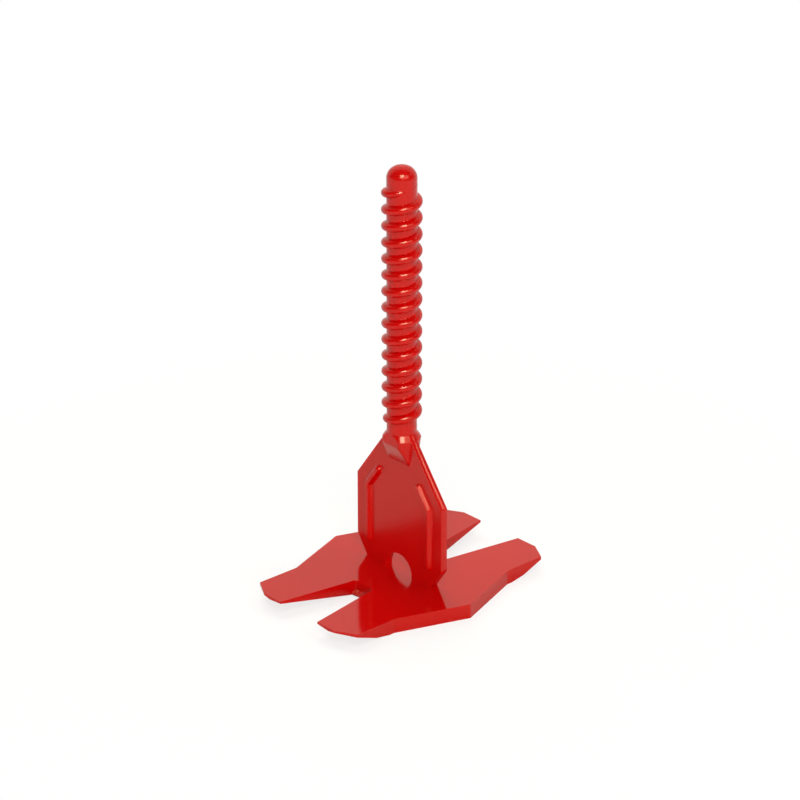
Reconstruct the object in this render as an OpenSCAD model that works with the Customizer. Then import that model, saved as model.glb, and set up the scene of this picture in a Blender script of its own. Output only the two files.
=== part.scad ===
// Tile levelling clip: a break-off base, a thin joint plate and a threaded stem, moulded in one piece.
// Frame: Z up the stem, X across the plate's width, Y through its thickness.
// The origin is the centre of the underside.

/* [Base] */
// Thickness of the base at its middle
base_thickness = 2.75; // [2:0.05:4]
// Width of the base across its two outer points, along X
base_width = 36.2; // [30:0.1:46]
// Length of the base over its arm tips, along Y
base_length = 48.6; // [42:0.1:60]
// Width over the straight outer sides of the arms
arm_width = 26.4; // [22:0.1:29]
// Distance from the plate's middle to where an arm's outer side turns straight
arm_start = 13.7; // [11:0.1:16]
// Width over the outer corners of the two arm ends
tip_width = 19; // [15:0.1:21]
// Length along Y of the cut corner at an arm end
tip_corner = 2.1; // [1:0.1:4]
// Thickness left at the arm tips
tip_thickness = 0.4; // [0.3:0.05:1]
// Distance from the plate's middle to where the underside starts to rise along a notch
ramp_start = 8.7; // [7.5:0.1:10]
// Distance from the plate's middle to where the tip bevel starts on an outer side
bevel_start = 17.8; // [16:0.1:19]
// Height that the underside has gained on an outer side where its tip bevel starts
bevel_rise = 0.5; // [0.2:0.05:1]

/* [Notches] */
// Distance from the plate's middle to a notch's end wall
notch_end = 9.3; // [8.8:0.1:11]
// Width of a notch at its end wall
notch_root = 4.5; // [3.5:0.1:6]
// Width of a notch at the arm tips
notch_mouth = 10; // [8:0.1:13]
// Size of the cut corners at a notch's end
notch_corner = 0.7; // [0.3:0.05:1.2]
// Height of the sloping ledge at a notch's end
ledge_height = 1.5; // [0.8:0.1:1.9]
// Reach of that ledge into the notch at the underside
ledge_reach = 0.9; // [0.4:0.1:1.4]

/* [Plate] */
// Thickness of the plate, which sets the tile joint
plate_thickness = 1.4; // [1:0.1:3]
// Width of the plate
plate_width = 22.5; // [19:0.1:26]
// Width of the plate where it meets the base
foot_width = 17.4; // [13:0.1:18.5]
// Height above the base at which the plate reaches its full width
foot_height = 3.7; // [2.5:0.1:6]
// Height above the base at which the slanted shoulders start
shoulder_height = 15.9; // [12:0.1:18]
// Radius of the arch cut through the plate at the base, where it snaps off
arch_radius = 3.55; // [2:0.05:4.5]

/* [Ribs] */
// Distance of a rib's middle line from the plate's edge
rib_inset = 2.9; // [2.2:0.1:3.5]
// Width of a rib's crown
rib_width = 1.25; // [0.8:0.05:2]
// Height of a rib above the plate's face
rib_height = 0.78; // [0.5:0.02:1]
// Rise of a rib's crown above its two edges
rib_bow = 0.1; // [0.04:0.02:0.2]
// Reach of the slope on each side wall of a rib
rib_draft = 0.17; // [0.05:0.01:0.3]
// Height above the base at which a rib starts
rib_foot = 3.2; // [2:0.1:5]
// Length of a rib's slanted part
rib_slant = 5.2; // [3:0.1:6.5]

/* [Neck] */
// Height above the base at which the neck grows out of the plate
neck_foot_height = 21.7; // [20:0.1:23]
// Diameter of the neck there
neck_foot_diameter = 5.6; // [4.5:0.1:6.5]
// Height above the base at which the sloping pads turn upright
pad_height = 25.2; // [24:0.1:26]
// Height above the base of the collar's widest ring
collar_height = 26.5; // [26.2:0.1:28]
// Diameter of the collar
collar_diameter = 6.9; // [6.2:0.1:8]
// Height of the cone from the collar up to the stem
collar_cone = 1.1; // [0.7:0.1:2]

/* [Stem] */
// Height of the clip over all
clip_height = 79.7; // [72:0.1:95]
// Diameter of the stem's core
core_diameter = 5.36; // [4.6:0.02:6]
// Height of the rounded tip
dome_height = 2.3; // [1.5:0.1:2.6]
// Distance of the thread's upper end below the tip
thread_drop = 4.1; // [3.5:0.1:10]
// Distance of the thread's lower end above the collar's cone
thread_lift = 0.95; // [0.6:0.05:5]
// Outer diameter of the thread
thread_diameter = 7.2; // [6.4:0.1:8]
// Pitch of the thread, which is right-handed with one start
thread_pitch = 3; // [2.4:0.1:4]
// Width of the thread's ridge on the core
ridge_width = 2; // [1.4:0.1:2.3]
// Turns over which the ridge fades in at its lower end
lower_fade = 0.9; // [0.3:0.1:2]
// Turns over which the ridge fades out at its upper end
upper_fade = 0.3; // [0.2:0.1:2]
// Direction in which the ridge ends at the top, from +X towards +Y
thread_clock = 328; // [0:1:359]

/* [Hidden] */
$fn = 96;
reach = 200;
sink = 0.35;
flat_clear = 0.02;
plate_cover = 0.04;
bevel_lag = 0.2;
steps_per_turn = 22;
ridge_steps = 6;
rib_steps = 6;
rib_end_steps = 4;
ridge_root = 0.08;
end_grow = 0.2;
dome_steps = 10;

base_half_w = base_width / 2;
base_half_l = base_length / 2;
arm_half = arm_width / 2;
tip_half = tip_width / 2;
bevel_end = base_half_l - tip_corner;
plate_half = plate_width / 2;
plate_half_t = plate_thickness / 2;
core_r = core_diameter / 2;
neck_foot_z = base_thickness + neck_foot_height;
collar_z = base_thickness + collar_height;
neck_top_z = collar_z + collar_cone;
flat_y = core_r + flat_clear;
shoulder_z = base_thickness + shoulder_height;
shoulder_top_x = sqrt(core_r * core_r - plate_half_t * plate_half_t) - plate_cover;
shoulder_angle = atan2(neck_top_z - shoulder_z, plate_half - shoulder_top_x);
thread_low_z = neck_top_z + thread_lift;
thread_top_z = clip_height - thread_drop;
thread_turns = (thread_top_z - thread_low_z) / thread_pitch;
thread_steps = round(thread_turns * steps_per_turn);

function unit(v) = v / norm(v);
function ease(t) = sin(90 * min(1, max(0, t)));
function reversed(points) = [for (i = [len(points) - 1 : -1 : 0]) points[i]];
function flipped(points, sx, sy) = [for (p = points) [p.x * sx, p.y * sy]];

// Closed solid through rings that all have the same number of points
module skin(rings) {
    n = len(rings[0]);
    last = len(rings) - 1;
    walls = [for (i = [0 : last - 1], j = [0 : n - 1])
        let (k = (j + 1) % n)
        each [
            [i * n + j, i * n + k, (i + 1) * n + k],
            [i * n + j, (i + 1) * n + k, (i + 1) * n + j]
        ]];
    first_cap = [for (j = [n - 1 : -1 : 0]) j];
    last_cap = [for (j = [0 : n - 1]) last * n + j];
    polyhedron([for (ring = rings) each ring], concat(walls, [first_cap, last_cap]));
}

// Everything on the underside of the plane through three points
module below(p, q, r) {
    n = unit(cross(q - p, r - p));
    up = n.z < 0 ? -n : n;
    translate(p)
        rotate([0, acos(up.z), atan2(up.y, up.x)])
            translate([-reach / 2, -reach / 2, -reach]) cube(reach);
}

// One quarter of the base's outline, from a notch's end wall round to the arm's outer side
function base_quarter() = [
    [notch_root / 2, notch_end],
    [notch_root / 2 + notch_corner, notch_end + notch_corner],
    [notch_mouth / 2, base_half_l],
    [tip_half, base_half_l],
    [arm_half, bevel_end],
    [arm_half, arm_start]
];

module base_outline() {
    quarter = base_quarter();
    polygon(concat(
        quarter,
        [[base_half_w, 0]],
        reversed(flipped(quarter, 1, -1)),
        flipped(quarter, -1, -1),
        [[-base_half_w, 0]],
        reversed(flipped(quarter, -1, 1))
    ));
}

// Space under one arm: a long ramp along the notch and a steeper bevel towards the tip
module arm_relief() {
    tip_z = base_thickness - tip_thickness;
    knee = [arm_half, bevel_start, bevel_rise];
    end = [tip_half, base_half_l, tip_z];
    intersection() {
        union() {
            below([notch_root / 2, ramp_start, 0], [notch_mouth / 2, base_half_l, tip_z], knee);
            below(knee, end, [arm_half, bevel_end, tip_z - bevel_lag]);
        }
        translate([0, 0, -reach]) cube([reach, reach, 2 * reach]);
    }
}

// Sloping ledge at the foot of a notch's end wall
module notch_ledge() {
    half = notch_root / 2 + notch_corner;
    rotate([90, 0, 90])
        linear_extrude(2 * half, center = true)
            polygon([
                [notch_end - ledge_reach, 0],
                [notch_end + ledge_reach, 0],
                [notch_end, ledge_height],
                [notch_end - ledge_reach, ledge_height]
            ]);
}

module base() {
    difference() {
        union() {
            linear_extrude(base_thickness) base_outline();
            for (side = [0, 1]) mirror([0, side, 0]) notch_ledge();
        }
        for (sx = [0, 1], sy = [0, 1])
            mirror([sx, 0, 0]) mirror([0, sy, 0]) arm_relief();
    }
}

// Upright plate between the tiles, with slanted shoulders up to the stem and an arch at its foot
module plate() {
    foot_z = base_thickness - sink;
    half = [
        [foot_width / 2, foot_z],
        [foot_width / 2, base_thickness],
        [plate_half, base_thickness + foot_height],
        [plate_half, shoulder_z],
        [shoulder_top_x, neck_top_z]
    ];
    difference() {
        rotate([90, 0, 0])
            linear_extrude(plate_thickness, center = true)
                polygon(concat(half, reversed(flipped(half, -1, 1))));
        translate([0, 0, base_thickness])
            rotate([90, 0, 0])
                cylinder(r = arch_radius, h = 2 * plate_thickness, center = true);
    }
}

// One ring of a rib: drafted walls and a bowed crown at a point of its path, grown by a share from 0 to 1
function rib_ring(at, normal, grow) =
    let (
        half = rib_width / 2,
        edge = rib_height - rib_bow,
        root = half + rib_draft * (1 + sink / edge),
        crown = [for (j = [rib_steps : -1 : 0])
            let (share = 2 * j / rib_steps - 1)
            [half * share, grow * (edge + rib_bow * (1 - share * share))]],
        points = concat(crown, [[-root, -sink], [root, -sink]])
    )
    [for (p = points)
        let (across = at + normal * p.x * grow)
        [across.x, -plate_half_t - p.y, across.y]];

// Rib on the front face: upright beside the plate's edge, then parallel to its slanted shoulder
module rib() {
    bend_angle = 90 - shoulder_angle;
    slant = [-cos(shoulder_angle), sin(shoulder_angle)];
    across_slant = [sin(shoulder_angle), cos(shoulder_angle)];
    bend = [plate_half - rib_inset, shoulder_z - rib_inset * tan(bend_angle / 2)];
    foot = [bend.x, base_thickness + rib_foot];
    end = bend + rib_slant * slant;
    mitre = unit([1, 0] + across_slant) / cos(bend_angle / 2);
    round_end = [for (i = [0 : rib_end_steps]) 90 * i / rib_end_steps];
    inset = function (turn) (rib_width / 2 + rib_draft) * (1 - cos(turn));
    grow = function (turn) max(end_grow, sin(turn));
    skin([
        for (turn = round_end) rib_ring(foot + [0, inset(turn)], [1, 0], grow(turn)),
        rib_ring(bend, mitre, 1),
        for (turn = reversed(round_end)) rib_ring(end - inset(turn) * slant, across_slant, grow(turn))
    ]);
}

// Round stem from the neck to the domed tip
module stem_core() {
    dome_z = clip_height - dome_height;
    dome = [for (i = [0 : dome_steps - 1])
        let (turn = 90 * i / dome_steps)
        [core_r * cos(turn), dome_z + dome_height * sin(turn)]];
    rotate_extrude()
        polygon(concat(
            [
                [0, neck_foot_z],
                [neck_foot_diameter / 2, neck_foot_z],
                [collar_diameter / 2, collar_z],
                [core_r, neck_top_z]
            ],
            dome,
            [[0, clip_height]]
        ));
}

// Side view of the neck: sloping pads from the plate's faces out to upright flats
module neck_sides() {
    side = [
        [plate_half_t - plate_cover, neck_foot_z],
        [flat_y, base_thickness + pad_height],
        [flat_y, clip_height]
    ];
    rotate([90, 0, 90])
        linear_extrude(2 * collar_diameter, center = true)
            polygon(concat(side, reversed(flipped(side, -1, 1))));
}

// One ring of the thread's ridge, a number of turns above the thread's lower end
function ridge_ring(turn) =
    let (
        grow = ease(min(turn / lower_fade, (thread_turns - turn) / upper_fade)),
        angle = thread_clock - 360 * (thread_turns - turn),
        z = thread_low_z + turn * thread_pitch,
        half = ridge_width / 2 * (end_grow + (1 - end_grow) * grow),
        low = core_r - ridge_root,
        crest = core_r - 2 * ridge_root + (thread_diameter / 2 - core_r + 2 * ridge_root) * grow,
        points = concat(
            [for (j = [0 : ridge_steps])
                let (a = 180 * j / ridge_steps)
                [low + (crest - low) * sin(a), -half * cos(a)]],
            [[core_r - sink, half], [core_r - sink, -half]]
        )
    )
    [for (p = points) [p.x * cos(angle), p.x * sin(angle), z + p.y]];

module thread() {
    skin([for (i = [0 : thread_steps]) ridge_ring(thread_turns * i / thread_steps)]);
}

module levelling_clip() {
    color("firebrick") {
        base();
        plate();
        for (sx = [0, 1], sy = [0, 1])
            mirror([sx, 0, 0]) mirror([0, sy, 0]) rib();
        intersection() {
            stem_core();
            neck_sides();
        }
        thread();
    }
}

levelling_clip();
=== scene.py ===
"""Looks of a tile levelling clip: one moulded piece of glossy red plastic on a white studio floor.

The clip is shaped in millimetres and its finished mesh is scaled to metres. Lamps, camera and floor are in
metres. The frame is the part's own: Z up the stem, X across the plate, Y through it, the front towards -Y.
"""

import math

import bmesh
import bpy
from mathutils import Matrix, Vector


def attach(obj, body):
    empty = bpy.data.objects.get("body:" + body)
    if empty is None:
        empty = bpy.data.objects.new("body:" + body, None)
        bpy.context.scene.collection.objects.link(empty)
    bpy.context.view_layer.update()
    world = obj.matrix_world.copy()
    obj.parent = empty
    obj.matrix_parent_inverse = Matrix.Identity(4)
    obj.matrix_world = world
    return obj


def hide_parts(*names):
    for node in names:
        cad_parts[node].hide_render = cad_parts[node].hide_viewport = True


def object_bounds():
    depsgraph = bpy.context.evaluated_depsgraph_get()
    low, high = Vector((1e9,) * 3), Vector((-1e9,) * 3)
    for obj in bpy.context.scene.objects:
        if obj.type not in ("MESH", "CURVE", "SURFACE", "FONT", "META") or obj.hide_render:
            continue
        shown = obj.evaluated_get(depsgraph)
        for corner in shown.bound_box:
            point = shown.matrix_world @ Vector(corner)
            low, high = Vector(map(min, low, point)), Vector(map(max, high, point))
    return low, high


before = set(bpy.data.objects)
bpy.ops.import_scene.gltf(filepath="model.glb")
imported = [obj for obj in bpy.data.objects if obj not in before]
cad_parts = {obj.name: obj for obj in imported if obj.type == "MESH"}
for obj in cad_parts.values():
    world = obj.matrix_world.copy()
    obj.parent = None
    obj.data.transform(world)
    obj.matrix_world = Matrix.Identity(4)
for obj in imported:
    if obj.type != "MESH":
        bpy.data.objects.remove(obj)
cad_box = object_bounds()

NODE = "levelling_clip"
METRES = 0.001

# Outer size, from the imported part
BASE_HALF_W, BASE_HALF_L, CLIP_HEIGHT = (round(reach / METRES, 3) for reach in cad_box[1])

# Base and its arms
BASE_THICKNESS = 2.75
ARM_HALF = 13.2
ARM_START = 13.7
TIP_HALF = 9.5
TIP_CORNER = 2.1
TIP_THICKNESS = 0.4
RAMP_START = 8.7
BEVEL_START = 17.8
BEVEL_RISE = 0.5
BEVEL_LAG = 0.2
BASE_EDGE = 0.14
BASE_EDGE_SEGMENTS = 3
BASE_SHARP = math.radians(12)

# Notches between the arms
NOTCH_END = 9.15
NOTCH_ROOT_HALF = 2.2
NOTCH_MOUTH_HALF = 5.0
NOTCH_CORNER = 0.3
NOTCH_CORNER_STEPS = 9
NOTCH_LEAN = 0.28
NOTCH_DRAFT = 0.35
LEDGE_HEIGHT = 1.15
LEDGE_NOSE = 0.5
LEDGE_REACH = 0.8

# Plate
PLATE_HALF_T = 0.7
PLATE_HALF = 11.25
FOOT_HALF = 8.7
FOOT_Z = BASE_THICKNESS + 3.7
SHOULDER_Z = BASE_THICKNESS + 15.9
ARCH_RADIUS = 3.3
ARCH_STEPS = 28
PLATE_DRAFT = 0.10
PLATE_ROUND = 0.9
PLATE_EDGE = 0.24
PLATE_EDGE_SEGMENTS = 3
PLATE_EDGE_Z = BASE_THICKNESS - 0.1
PLATE_SHARP = math.radians(30)

# Ribs
RIB_INSET = 3.3
RIB_CROWN = 0.85
RIB_HEIGHT = 0.75
RIB_ROUND = 0.22
RIB_DRAFT = 0.26
RIB_FILLET = 0.55
RIB_COVER = 0.02
RIB_FOOT_Z = BASE_THICKNESS + 3.2
RIB_SLANT = 5.2
RIB_CREASE = 0.3
RIB_END_STEPS = 8

# Neck
NECK_FOOT_Z = BASE_THICKNESS + 21.5
NECK_FOOT_R = 2.8
PAD_Z = BASE_THICKNESS + 25.45
COLLAR_Z = BASE_THICKNESS + 26.5
COLLAR_R = 3.45
NECK_TOP_Z = COLLAR_Z + 1.1
NECK_CREASE = 0.10

# Stem and its domed tip
CORE_R = 2.68
FLAT_Y = CORE_R + 0.02
PLATE_COVER = 0.04
DOME_HEIGHT = 2.3
DOME_FULLNESS = 0.9
DOME_ROWS = 14
SEAM_HEIGHT = 0.025
SEAM_WIDTH = 0.10
STEM_SEGMENTS = 96
STEM_ROW = 0.11

# Thread
THREAD_R = 3.6
THREAD_PITCH = 3.0
THREAD_LOW_Z = NECK_TOP_Z + 0.95
THREAD_TOP_Z = CLIP_HEIGHT - 4.1
THREAD_CLOCK = math.radians(328)
LOWER_FADE = 0.9
UPPER_FADE = 0.3
RIDGE_WIDTH = 1.82
RIDGE_END_SHARE = 0.2
RIDGE_BULGE = 2.1
RIDGE_FULLNESS = 0.62
RIDGE_FILLET = 0.12
RIDGE_FILLET_POWER = 6

# Helpers for the mesh: overlap of solids that are joined, reach of cutters, and small tolerances
SINK = 0.5
FAR = 120.0
FAR_UPRIGHT = 30.0
CORNER_STEPS = 5
MITRE_LIMIT = 0.3
WELD = 1e-4
ON_FACE = 1e-3
LEAST_SINE = 1e-4
FLAT_TURN = math.radians(0.5)
SHADE_SHARP = math.radians(38)

# Plastic: the two reds of its flow pattern, and roughness at heights in millimetres
DARK_RED = (0.470, 0.0006, 0.0008)
LIGHT_RED = (0.500, 0.0010, 0.0012)
ROUGHNESS = ((BASE_THICKNESS + 0.2, 0.07), (BASE_THICKNESS + 2.0, 0.11), (30.0, 0.11), (34.0, 0.12))
POLISH_SPREAD = 0.05
BROAD_FACE_ROUGHNESS = 0.10

# Camera, in metres and degrees
VIEW_AZIMUTH = 47.945
VIEW_ELEVATION = 23.944
VIEW_DISTANCE = 0.52196
VIEW_AIM_HEIGHT = 0.03611
VIEW_ASIDE = 0.000313
VIEW_LENS = 133.8

# Lamps and studio, in metres
LAMP_AIM = Vector((0, 0, 0.04))
LAMP_COLOUR = (1.0, 0.90, 0.76)
STUDIO_COLOUR = (1.0, 0.96, 0.88, 1)
STUDIO_WHITE = 0.95
STUDIO_DIM = 0.12
STUDIO_FADE = 0.45

# Floor, in metres: its colours, and the share of plain white near the object
FLOOR_HALF = 20.0
FLOOR_NEAR = 0.03
FLOOR_FAR = 0.12
FLOOR_LIT = (0.65, 0.65, 0.65, 1)
FLOOR_SHOWN = (0.90, 0.97, 1.0, 1)
WHITE_SEEN = 0.75
WHITE_MIRRORED = 0.15


def ease(share):
    """Quarter sine from 0 to 1."""
    return math.sin(math.pi / 2 * min(1.0, max(0.0, share)))


def lerp(a, b, share):
    return a + (b - a) * share


def smooth_min(a, b, width):
    """The smaller of two values, with the corner between them rounded."""
    h = max(width - abs(a - b), 0.0) / width
    return min(a, b) - h * h * width / 4


def smooth_max(a, b, width):
    return -smooth_min(-a, -b, width)


def direction(azimuth, elevation):
    """Unit vector from the object towards a place round it; azimuth 0 lies to the front."""
    a = math.radians(azimuth)
    e = math.radians(elevation)
    return Vector((math.sin(a) * math.cos(e), -math.cos(a) * math.cos(e), math.sin(e)))


def link_object(name, data):
    obj = bpy.data.objects.new(name, data)
    bpy.context.collection.objects.link(obj)
    return obj


def mesh_object(name, verts, faces):
    mesh = bpy.data.meshes.new(name)
    mesh.from_pydata(verts, [], faces)
    mesh.update()
    return link_object(name, mesh)


def bmesh_object(name, bm):
    bmesh.ops.recalc_face_normals(bm, faces=bm.faces)
    mesh = bpy.data.meshes.new(name)
    bm.to_mesh(mesh)
    bm.free()
    return link_object(name, mesh)


def combine(target, tools, operation):
    """Joins tools to the target or cuts them from it, and deletes them."""
    for tool in tools:
        modifier = target.modifiers.new("combine", "BOOLEAN")
        modifier.operation = operation
        modifier.solver = "MANIFOLD"
        modifier.object = tool
        graph = bpy.context.evaluated_depsgraph_get()
        mesh = bpy.data.meshes.new_from_object(target.evaluated_get(graph))
        target.modifiers.clear()
        target.data = mesh
        bpy.data.objects.remove(tool)


def side_faces(ring_count, n):
    """Faces between rings of n points that follow each other."""
    faces = []
    for i in range(ring_count - 1):
        for j in range(n):
            k = (j + 1) % n
            faces.append((i * n + j, i * n + k, (i + 1) * n + k, (i + 1) * n + j))
    return faces


def skin(name, rings):
    """Closed solid through rings that all have the same number of points."""
    n = len(rings[0])
    last = len(rings) - 1
    faces = side_faces(len(rings), n)
    faces.append(tuple(reversed(range(n))))
    faces.append(tuple(last * n + j for j in range(n)))
    bm = bmesh.new()
    points = [bm.verts.new(p) for ring in rings for p in ring]
    for face in faces:
        bm.faces.new([points[i] for i in face])
    return bmesh_object(name, bm)


def rounded(points, radii):
    """Polygon with an arc in place of each corner that has a radius."""
    out = []
    count = len(points)
    for i, (point, radius) in enumerate(zip(points, radii)):
        here = Vector(point)
        if radius <= 0:
            out.append(here)
            continue
        back = (Vector(points[i - 1]) - here).normalized()
        ahead = (Vector(points[(i + 1) % count]) - here).normalized()
        half = back.angle(ahead) / 2
        start = here + back * radius / math.tan(half)
        end = here + ahead * radius / math.tan(half)
        centre = here + (back + ahead).normalized() * radius / math.sin(half)
        for k in range(CORNER_STEPS + 1):
            arm = (start - centre).lerp(end - centre, k / CORNER_STEPS).normalized()
            out.append(centre + arm * radius)
    return out


def shrunk(points, distance):
    """Counterclockwise polygon with every side moved inwards."""
    out = []
    count = len(points)
    for i, here in enumerate(points):
        back = (here - points[i - 1]).normalized()
        ahead = (points[(i + 1) % count] - here).normalized()
        inward_back = Vector((-back.y, back.x))
        inward_ahead = Vector((-ahead.y, ahead.x))
        middle = (inward_back + inward_ahead).normalized()
        out.append(here + middle * distance / max(MITRE_LIMIT, middle.dot(inward_ahead)))
    return out


def prism_x(name, outline, half):
    """Solid between two copies of an outline in Y and Z."""
    return skin(name, [[(x, y, z) for y, z in outline] for x in (-half, half)])


def bevel_edges(obj, width, segments, min_angle, wanted=lambda edge: True):
    """Rounds the wanted edges that turn by more than an angle."""
    bm = bmesh.new()
    bm.from_mesh(obj.data)
    bmesh.ops.remove_doubles(bm, verts=bm.verts, dist=WELD)
    bmesh.ops.dissolve_limit(bm, angle_limit=FLAT_TURN, verts=bm.verts, edges=bm.edges)
    inner = [edge for edge in bm.edges if len(edge.link_faces) == 2]
    sharp = [edge for edge in inner if edge.calc_face_angle() > min_angle and wanted(edge)]
    bmesh.ops.bevel(
        bm, geom=sharp, offset=width, offset_type="OFFSET", segments=segments,
        profile=0.5, affect="EDGES", clamp_overlap=True,
    )
    bm.to_mesh(obj.data)
    bm.free()


def base_outline(z):
    """Outline of the base at a height, with leaning end walls and drafted sides in both notches."""
    lean = NOTCH_LEAN * max(0.0, z - LEDGE_HEIGHT) / (BASE_THICKNESS - LEDGE_HEIGHT)
    narrow = NOTCH_DRAFT * (1 - z / BASE_THICKNESS)
    quarter = []
    for k in range(NOTCH_CORNER_STEPS + 1):
        turn = math.pi / 2 * k / NOTCH_CORNER_STEPS
        back = NOTCH_CORNER * (1 - math.cos(turn)) - lean * math.cos(turn)
        quarter.append((NOTCH_ROOT_HALF - narrow + NOTCH_CORNER * math.sin(turn), NOTCH_END + back))
    quarter += [
        (NOTCH_MOUTH_HALF - narrow, BASE_HALF_L),
        (TIP_HALF, BASE_HALF_L),
        (ARM_HALF, BASE_HALF_L - TIP_CORNER),
        (ARM_HALF, ARM_START),
    ]
    right = quarter + [(BASE_HALF_W, 0.0)] + [(x, -y) for x, y in reversed(quarter)]
    return right + [(-x, y) for x, y in reversed(right)]


def below(points, sx, sy):
    """The space of one quarter of the base that lies under the plane through three points."""
    bm = bmesh.new()
    bmesh.ops.create_cube(bm, size=2.0)
    for vert in bm.verts:
        vert.co = Vector((max(vert.co.x, 0) * FAR, max(vert.co.y, 0) * FAR, vert.co.z * FAR_UPRIGHT))
    p, q, r = (Vector(point) for point in points)
    normal = (q - p).cross(r - p)
    normal = -normal if normal.z < 0 else normal
    everything = bm.verts[:] + bm.edges[:] + bm.faces[:]
    cut = bmesh.ops.bisect_plane(bm, geom=everything, plane_co=p, plane_no=normal, clear_outer=True)
    rim = [g for g in cut["geom_cut"] if isinstance(g, bmesh.types.BMEdge)]
    bmesh.ops.contextual_create(bm, geom=rim)
    bmesh.ops.scale(bm, vec=Vector((sx, sy, 1)), verts=bm.verts)
    return bmesh_object("relief", bm)


def arm_reliefs():
    """What the rising underside and the bevelled tip take off below each arm."""
    tip_z = BASE_THICKNESS - TIP_THICKNESS
    knee = (ARM_HALF, BEVEL_START, BEVEL_RISE)
    corner = (ARM_HALF, BASE_HALF_L - TIP_CORNER, tip_z - BEVEL_LAG)
    ramp = ((NOTCH_ROOT_HALF, RAMP_START, 0), (NOTCH_MOUTH_HALF, BASE_HALF_L, tip_z), knee)
    bevel = (knee, (TIP_HALF, BASE_HALF_L, tip_z), corner)
    return [below(plane, sx, sy) for plane in (ramp, bevel) for sx in (1, -1) for sy in (1, -1)]


def make_base():
    """Slab with two notches, a sloping ledge at the end of each, and arms that thin out to their tips."""
    levels = (0.0, LEDGE_HEIGHT, BASE_THICKNESS)
    slab = skin("base", [[(x, y, z) for x, y in base_outline(z)] for z in levels])
    ledge = [
        (NOTCH_END - LEDGE_REACH, 0.0),
        (NOTCH_END + LEDGE_REACH, 0.0),
        (NOTCH_END + LEDGE_REACH, LEDGE_NOSE),
        (NOTCH_END, LEDGE_HEIGHT),
        (NOTCH_END - LEDGE_REACH, LEDGE_HEIGHT),
    ]
    half = NOTCH_ROOT_HALF + NOTCH_CORNER
    ledges = [prism_x("ledge", [(y * side, z) for y, z in ledge], half) for side in (1, -1)]
    combine(slab, ledges, "UNION")
    combine(slab, arm_reliefs(), "DIFFERENCE")
    bevel_edges(slab, BASE_EDGE, BASE_EDGE_SEGMENTS, BASE_SHARP)
    return slab


def shoulder_top_x():
    """Half the plate's width where its shoulders end inside the stem."""
    return math.sqrt(CORE_R**2 - PLATE_HALF_T**2) - PLATE_COVER


def plate_outline():
    """Counterclockwise outline in X and Z, with the arch and rounded corners."""
    sunk = BASE_THICKNESS - SINK
    corners = [
        ((FOOT_HALF, sunk), 0.0),
        ((FOOT_HALF, BASE_THICKNESS), 0.0),
        ((PLATE_HALF, FOOT_Z), PLATE_ROUND),
        ((PLATE_HALF, SHOULDER_Z), PLATE_ROUND / 2),
        ((shoulder_top_x(), NECK_TOP_Z), 0.0),
    ]
    mirrored = [((-x, z), radius) for (x, z), radius in reversed(corners)]
    foot = [((-ARCH_RADIUS, sunk), 0.0), ((ARCH_RADIUS, sunk), 0.0)]
    ring = corners + mirrored + foot
    outline = rounded([point for point, _ in ring], [radius for _, radius in ring])
    arch = []
    for k in range(1, ARCH_STEPS):
        turn = math.pi * (1 - k / ARCH_STEPS)
        arch.append(Vector((ARCH_RADIUS * math.cos(turn), BASE_THICKNESS + ARCH_RADIUS * math.sin(turn))))
    left_foot = Vector((-ARCH_RADIUS, BASE_THICKNESS))
    right_foot = Vector((ARCH_RADIUS, BASE_THICKNESS))
    return outline[:-1] + [left_foot] + arch + [right_foot] + outline[-1:]


def make_plate():
    """Plate whose edges fall back a little on both sides of the mould's parting line."""
    full = plate_outline()
    drafted = shrunk(full, PLATE_DRAFT)
    layers = ((drafted, PLATE_HALF_T), (full, 0.0), (drafted, -PLATE_HALF_T))
    plate = skin("plate", [[(p.x, y, p.y) for p in outline] for outline, y in layers])

    def rims_a_face(edge):
        ends = [vert.co for vert in edge.verts]
        return all(abs(abs(co.y) - PLATE_HALF_T) < ON_FACE and co.z > PLATE_EDGE_Z for co in ends)

    bevel_edges(plate, PLATE_EDGE, PLATE_EDGE_SEGMENTS, PLATE_SHARP, rims_a_face)
    return plate


def rib_profile():
    """Cross-section of a rib with drafted walls, a rounded crown and filleted feet: across and height."""
    half = RIB_CROWN / 2
    foot = half + RIB_DRAFT
    wide = foot + RIB_FILLET
    right = [(half, RIB_HEIGHT), (foot, 0.0), (wide, -RIB_COVER), (wide, -SINK)]
    left = [(-x, height) for x, height in reversed(right)]
    return rounded(left + right, (0, 0, RIB_FILLET, RIB_ROUND, RIB_ROUND, RIB_FILLET, 0, 0))


def rib_ring(at, across, grow):
    """Cross-section of a rib at a point of its path, made smaller towards its domed ends."""
    ring = []
    for point in rib_profile():
        place = at + across * point.x * grow
        out = point.y * grow if point.y > 0 else point.y
        ring.append((place.x, -(PLATE_HALF_T + out), place.y))
    return ring


def rib_end(tip, inward, across):
    """Rings from a rib's tip to where it has its full section."""
    reach = RIB_CROWN / 2 + RIB_DRAFT
    rings = []
    for k in range(1, RIB_END_STEPS + 1):
        turn = math.pi / 2 * k / RIB_END_STEPS
        rings.append(rib_ring(tip + inward * reach * (1 - math.cos(turn)), across, math.sin(turn)))
    return rings


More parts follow.
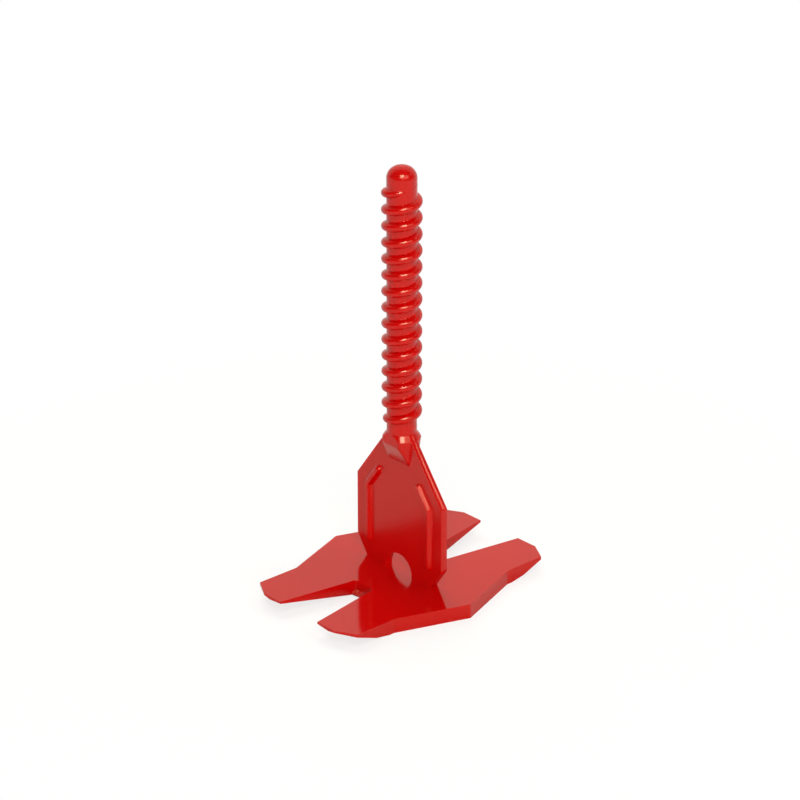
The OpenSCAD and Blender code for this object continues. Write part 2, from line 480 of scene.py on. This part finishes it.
def make_rib(sx, sy):
    """Rib beside a plate edge that bends to run along the slanted shoulder."""
    slope = math.atan2(NECK_TOP_Z - SHOULDER_Z, PLATE_HALF - shoulder_top_x())
    turn_by = math.pi / 2 - slope
    slant = Vector((-math.cos(slope), math.sin(slope)))
    across_slant = Vector((math.sin(slope), math.cos(slope)))
    upright = Vector((0.0, 1.0))
    across_upright = Vector((1.0, 0.0))
    mitre = (across_upright + across_slant).normalized() / math.cos(turn_by / 2)
    bend = Vector((PLATE_HALF - RIB_INSET, SHOULDER_Z - RIB_INSET * math.tan(turn_by / 2)))
    foot = Vector((bend.x, RIB_FOOT_Z))
    end = bend + slant * RIB_SLANT
    rings = rib_end(foot, upright, across_upright)
    rings.append(rib_ring(bend - upright * RIB_CREASE, across_upright, 1.0))
    rings.append(rib_ring(bend, mitre, 1.0))
    rings.append(rib_ring(bend + slant * RIB_CREASE, across_slant, 1.0))
    rings += reversed(rib_end(end, -slant, across_slant))
    return skin("rib", [[(x * sx, y * sy, z) for x, y, z in ring] for ring in rings])


def turned_radius(z):
    """Radius of the stem's turned shape, without thread and flats."""
    if z < COLLAR_Z:
        return lerp(NECK_FOOT_R, COLLAR_R, (z - NECK_FOOT_Z) / (COLLAR_Z - NECK_FOOT_Z))
    if z < NECK_TOP_Z:
        return lerp(COLLAR_R, CORE_R, (z - COLLAR_Z) / (NECK_TOP_Z - COLLAR_Z))
    return CORE_R


def flat_limit(z):
    """Half the neck's depth between its two sloping pads and the flats above them."""
    share = (z - NECK_FOOT_Z) / (PAD_Z - NECK_FOOT_Z)
    return smooth_min(lerp(PLATE_HALF_T - PLATE_COVER, FLAT_Y, share), FLAT_Y, NECK_CREASE)


def ridge_height(angle, z):
    """Height of the thread's ridge over the core; it runs out at both ends of the thread."""
    turns = (THREAD_TOP_Z - THREAD_LOW_Z) / THREAD_PITCH
    phase = (z - THREAD_TOP_Z) / THREAD_PITCH - (angle - THREAD_CLOCK) / (2 * math.pi)
    off = phase - round(phase)
    crest_turn = (z - off * THREAD_PITCH - THREAD_LOW_Z) / THREAD_PITCH
    grow = ease(min(crest_turn / LOWER_FADE, (turns - crest_turn) / UPPER_FADE))
    half = RIDGE_WIDTH / 2 * lerp(RIDGE_END_SHARE, 1.0, grow)
    across = abs(off * THREAD_PITCH / half)
    if across >= 1:
        return -RIDGE_FILLET
    full = (THREAD_R - CORE_R) * grow * (1 - across**RIDGE_BULGE) ** RIDGE_FULLNESS
    return full - RIDGE_FILLET * across**RIDGE_FILLET_POWER


def seam(angle, z):
    """The mould's parting line down both sides of the stem."""
    aside = CORE_R * abs(math.sin(angle))
    return SEAM_HEIGHT * math.exp(-((aside / SEAM_WIDTH) ** 2)) if z > NECK_TOP_Z else 0.0


def stem_radius(angle, z):
    """Radius of the neck and stem at an angle round the axis and a height."""
    radius = turned_radius(z)
    if z < NECK_TOP_Z:
        flat = flat_limit(z) / max(abs(math.sin(angle)), LEAST_SINE)
        return smooth_min(radius, flat, NECK_CREASE)
    return smooth_max(radius, CORE_R + ridge_height(angle, z), RIDGE_FILLET) + seam(angle, z)


def make_stem():
    """Neck, threaded stem and domed tip as one surface round the axis."""
    dome_z = CLIP_HEIGHT - DOME_HEIGHT
    rows = round((dome_z - NECK_FOOT_Z) / STEM_ROW)
    levels = [(lerp(NECK_FOOT_Z, dome_z, i / rows), 1.0) for i in range(rows + 1)]
    for i in range(1, DOME_ROWS):
        turn = math.pi / 2 * i / DOME_ROWS
        levels.append((dome_z + DOME_HEIGHT * math.sin(turn), math.cos(turn) ** DOME_FULLNESS))
    n = STEM_SEGMENTS
    verts = []
    for z, shrink in levels:
        for k in range(n):
            angle = 2 * math.pi * k / n
            radius = stem_radius(angle, z) * shrink
            verts.append((radius * math.cos(angle), radius * math.sin(angle), z))
    tip = len(verts)
    verts.append((0.0, 0.0, CLIP_HEIGHT))
    top = tip - n
    faces = side_faces(len(levels), n)
    faces += [(top + j, top + (j + 1) % n, tip) for j in range(n)]
    faces.append(tuple(reversed(range(n))))
    return mesh_object("stem", verts, faces)


def make_clip():
    """The whole moulding as one closed mesh in metres."""
    clip = make_base()
    ribs = [make_rib(sx, sy) for sx in (1, -1) for sy in (1, -1)]
    combine(clip, [make_plate(), *ribs, make_stem()], "UNION")
    clip.name = "moulded_clip"
    mesh = clip.data
    mesh.name = "moulded_clip"
    mesh.transform(Matrix.Scale(METRES, 4))
    mesh.shade_smooth()
    mesh.set_sharp_from_angle(angle=SHADE_SHARP)
    weighted = clip.modifiers.new("even_shading", "WEIGHTED_NORMAL")
    weighted.mode = "FACE_AREA"
    weighted.keep_sharp = True
    return clip


def add_node(tree, kind, inputs=None, operation=None):
    """New shader node with some of its inputs filled in."""
    node = tree.nodes.new(kind)
    if operation:
        node.operation = operation
    for key, value in (inputs or {}).items():
        node.inputs[key].default_value = value
    return node


def new_material(name):
    material = bpy.data.materials.new(name)
    material.use_nodes = True
    return material


def add_noise(tree, place, scale, detail):
    """Noise that is fixed to the object."""
    noise = add_node(tree, "ShaderNodeTexNoise", {"Scale": scale, "Detail": detail})
    tree.links.new(place.outputs["Object"], noise.inputs["Vector"])
    return noise.outputs["Fac"]


def add_ramp(tree, value, stops):
    """Colours over a value, from places and colours in rising order."""
    ramp = add_node(tree, "ShaderNodeValToRGB")
    elements = ramp.color_ramp.elements
    for position, _ in stops[1:-1]:
        elements.new(position)
    for element, (position, colour) in zip(elements, stops):
        element.position = position
        element.color = (*colour, 1)
    tree.links.new(value, ramp.inputs["Fac"])
    return ramp.outputs["Color"]


def tint(tree, place):
    """Red with a faint flow pattern."""
    flow = add_noise(tree, place, scale=60.0, detail=3.0)
    return add_ramp(tree, flow, ((0.3, DARK_RED), (0.7, LIGHT_RED)))


def roughness(tree, place):
    """Glossiest on the base, a little less so up the stem, and dullest on the plate's broad faces."""
    links = tree.links
    polish = add_noise(tree, place, scale=220.0, detail=4.0)
    at = add_node(tree, "ShaderNodeSeparateXYZ")
    links.new(place.outputs["Object"], at.inputs["Vector"])
    level = add_node(tree, "ShaderNodeMapRange", {"From Max": CLIP_HEIGHT * METRES})
    links.new(at.outputs["Z"], level.inputs["Value"])
    stops = [(z / CLIP_HEIGHT, (value, value, value)) for z, value in ROUGHNESS]
    mould = add_ramp(tree, level.outputs["Result"], stops)
    gloss = add_node(tree, "ShaderNodeMath", {1: POLISH_SPREAD}, "MULTIPLY_ADD")
    links.new(polish, gloss.inputs[0])
    links.new(mould, gloss.inputs[2])
    facing = add_node(tree, "ShaderNodeSeparateXYZ")
    links.new(place.outputs["Normal"], facing.inputs["Vector"])
    broad = add_node(tree, "ShaderNodeMath", operation="ABSOLUTE")
    links.new(facing.outputs["Y"], broad.inputs[0])
    broad_face = {"From Min": 0.985, "From Max": 0.998, "To Max": BROAD_FACE_ROUGHNESS}
    dull = add_node(tree, "ShaderNodeMapRange", broad_face)
    links.new(broad.outputs["Value"], dull.inputs["Value"])
    total = add_node(tree, "ShaderNodeMath", operation="ADD")
    links.new(gloss.outputs["Value"], total.inputs[0])
    links.new(dull.outputs["Result"], total.inputs[1])
    return total.outputs["Value"]


def ripple(tree, place):
    """The slight unevenness of a moulded surface."""
    height = add_noise(tree, place, scale=350.0, detail=2.0)
    bump = add_node(tree, "ShaderNodeBump", {"Strength": 0.05, "Distance": 0.0002})
    tree.links.new(height, bump.inputs["Height"])
    return bump.outputs["Normal"]


def red_plastic():
    """Glossy through-coloured plastic with a little light in its depth."""
    material = new_material("glossy_red_plastic")
    tree = material.node_tree
    place = add_node(tree, "ShaderNodeTexCoord")
    inputs = tree.nodes["Principled BSDF"].inputs
    tree.links.new(tint(tree, place), inputs["Base Color"])
    tree.links.new(roughness(tree, place), inputs["Roughness"])
    tree.links.new(ripple(tree, place), inputs["Normal"])
    inputs["IOR"].default_value = 1.43
    inputs["Specular Tint"].default_value = (1.0, 0.92, 0.74, 1)
    inputs["Subsurface Weight"].default_value = 0.12
    inputs["Subsurface Radius"].default_value = (1.0, 0.12, 0.08)
    inputs["Subsurface Scale"].default_value = 0.0012
    return material


def mix_shaders(tree, share, first, second):
    mix = add_node(tree, "ShaderNodeMixShader")
    tree.links.new(share, mix.inputs["Fac"])
    tree.links.new(first, mix.inputs[1])
    tree.links.new(second, mix.inputs[2])
    return mix.outputs[0]


def larger(tree, a, b):
    node = add_node(tree, "ShaderNodeMath", operation="MAXIMUM")
    tree.links.new(a, node.inputs[0])
    tree.links.new(b, node.inputs[1])
    return node.outputs[0]


def white_floor():
    """Floor that turns to plain white away from the object, as seen directly or in a reflection.

    Near the object it keeps the shadow. Reflections see more of the lit floor there than the camera does.
    """
    material = new_material("white_floor")
    tree = material.node_tree
    links = tree.links
    tree.nodes.remove(tree.nodes["Principled BSDF"])
    lit = add_node(tree, "ShaderNodeBsdfDiffuse", {"Color": FLOOR_LIT}).outputs[0]
    shown = add_node(tree, "ShaderNodeBsdfDiffuse", {"Color": FLOOR_SHOWN}).outputs[0]
    white = add_node(tree, "ShaderNodeEmission", {"Strength": 1.0}).outputs[0]
    path = add_node(tree, "ShaderNodeLightPath").outputs
    place = add_node(tree, "ShaderNodeTexCoord")
    distance = add_node(tree, "ShaderNodeVectorMath", operation="LENGTH")
    links.new(place.outputs["Object"], distance.inputs[0])
    shares = {1: WHITE_MIRRORED - WHITE_SEEN, 2: WHITE_SEEN}
    near = add_node(tree, "ShaderNodeMath", shares, "MULTIPLY_ADD")
    links.new(path["Is Glossy Ray"], near.inputs[0])
    reach = {"From Min": FLOOR_NEAR, "From Max": FLOOR_FAR, "To Max": 1.0}
    whiten = add_node(tree, "ShaderNodeMapRange", reach)
    links.new(distance.outputs["Value"], whiten.inputs["Value"])
    links.new(near.outputs[0], whiten.inputs["To Min"])
    close = mix_shaders(tree, path["Is Glossy Ray"], shown, lit)
    plain = mix_shaders(tree, whiten.outputs["Result"], close, white)
    seen = larger(tree, path["Is Camera Ray"], path["Is Glossy Ray"])
    seen = larger(tree, seen, path["Is Transmission Ray"])
    surface = mix_shaders(tree, seen, lit, plain)
    links.new(surface, tree.nodes["Material Output"].inputs["Surface"])
    return material


def make_floor():
    corners = [(x * FLOOR_HALF, y * FLOOR_HALF, 0) for x, y in ((-1, -1), (1, -1), (1, 1), (-1, 1))]
    floor = mesh_object("floor", corners, [(0, 1, 2, 3)])
    floor.data.materials.append(white_floor())


def make_world():
    """Studio that is white behind the object and dim on the camera's side."""
    world = bpy.data.worlds.new("white_studio")
    bpy.context.scene.world = world
    world.use_nodes = True
    tree = world.node_tree
    background = tree.nodes["Background"]
    place = add_node(tree, "ShaderNodeTexCoord")
    facing = add_node(tree, "ShaderNodeVectorMath", {1: direction(VIEW_AZIMUTH, 0)}, "DOT_PRODUCT")
    tree.links.new(place.outputs["Generated"], facing.inputs[0])
    fade = {"From Min": -STUDIO_FADE, "From Max": 0.0, "To Min": STUDIO_WHITE, "To Max": STUDIO_DIM}
    shade = add_node(tree, "ShaderNodeMapRange", fade)
    shade.interpolation_type = "SMOOTHSTEP"
    tree.links.new(facing.outputs["Value"], shade.inputs["Value"])
    tree.links.new(shade.outputs["Result"], background.inputs["Strength"])
    background.inputs["Color"].default_value = STUDIO_COLOUR


def softbox(name, azimuth, elevation, distance, size, power, diffuse=True, glossy=True):
    """Rectangular lamp that faces the object, with its width level."""
    data = bpy.data.lights.new(name, "AREA")
    data.shape = "RECTANGLE"
    data.size, data.size_y = size
    data.energy = power
    data.color = LAMP_COLOUR
    lamp = link_object(name, data)
    lamp.visible_diffuse = diffuse
    lamp.visible_glossy = glossy
    back = direction(azimuth, elevation)
    lamp.location = LAMP_AIM + back * distance
    lamp.rotation_mode = "QUATERNION"
    lamp.rotation_quaternion = (-back).to_track_quat("-Z", "Y")


def make_lamps():
    """A key light, lamps that only show as highlights, and fills that show in no reflection."""
    softbox("key_softbox", 50, 52, distance=0.9, size=(0.48, 0.16), power=2.6)
    softbox("panel_softbox", 66, 33, distance=0.9, size=(1.2, 0.46), power=5.5, diffuse=False)
    softbox("glint_softbox", 52, 45, distance=0.88, size=(0.34, 0.38), power=6.2, diffuse=False)
    softbox("rim_softbox", 133, 35, distance=0.9, size=(0.07, 0.2), power=0.5, diffuse=False)
    softbox("side_softbox", 133, 38, distance=0.9, size=(0.13, 0.13), power=1.2, glossy=False)
    softbox("front_fill", 51, 16, distance=1.2, size=(0.8, 0.6), power=10.6, glossy=False)
    softbox("back_fill", -120, 50, distance=1.2, size=(0.8, 0.6), power=6.0, glossy=False)


def make_camera():
    """The photograph's view: long lens, to the front right and a little above."""
    data = bpy.data.cameras.new("camera")
    data.sensor_width = 36.0
    data.lens = VIEW_LENS
    data.clip_start = 0.01
    data.clip_end = 20.0
    camera = link_object("camera", data)
    a = math.radians(VIEW_AZIMUTH)
    back = direction(VIEW_AZIMUTH, VIEW_ELEVATION)
    aim = Vector((-VIEW_ASIDE * math.cos(a), -VIEW_ASIDE * math.sin(a), VIEW_AIM_HEIGHT))
    camera.location = aim + back * VIEW_DISTANCE
    camera.rotation_mode = "QUATERNION"
    camera.rotation_quaternion = (-back).to_track_quat("-Z", "Y")
    bpy.context.scene.camera = camera


make_camera()
make_world()
make_floor()
make_lamps()

clip = make_clip()
clip.data.materials.clear()
clip.data.materials.append(red_plastic())
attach(clip, "root")
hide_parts(NODE)

bpy.context.scene.view_settings.view_transform = "Standard"
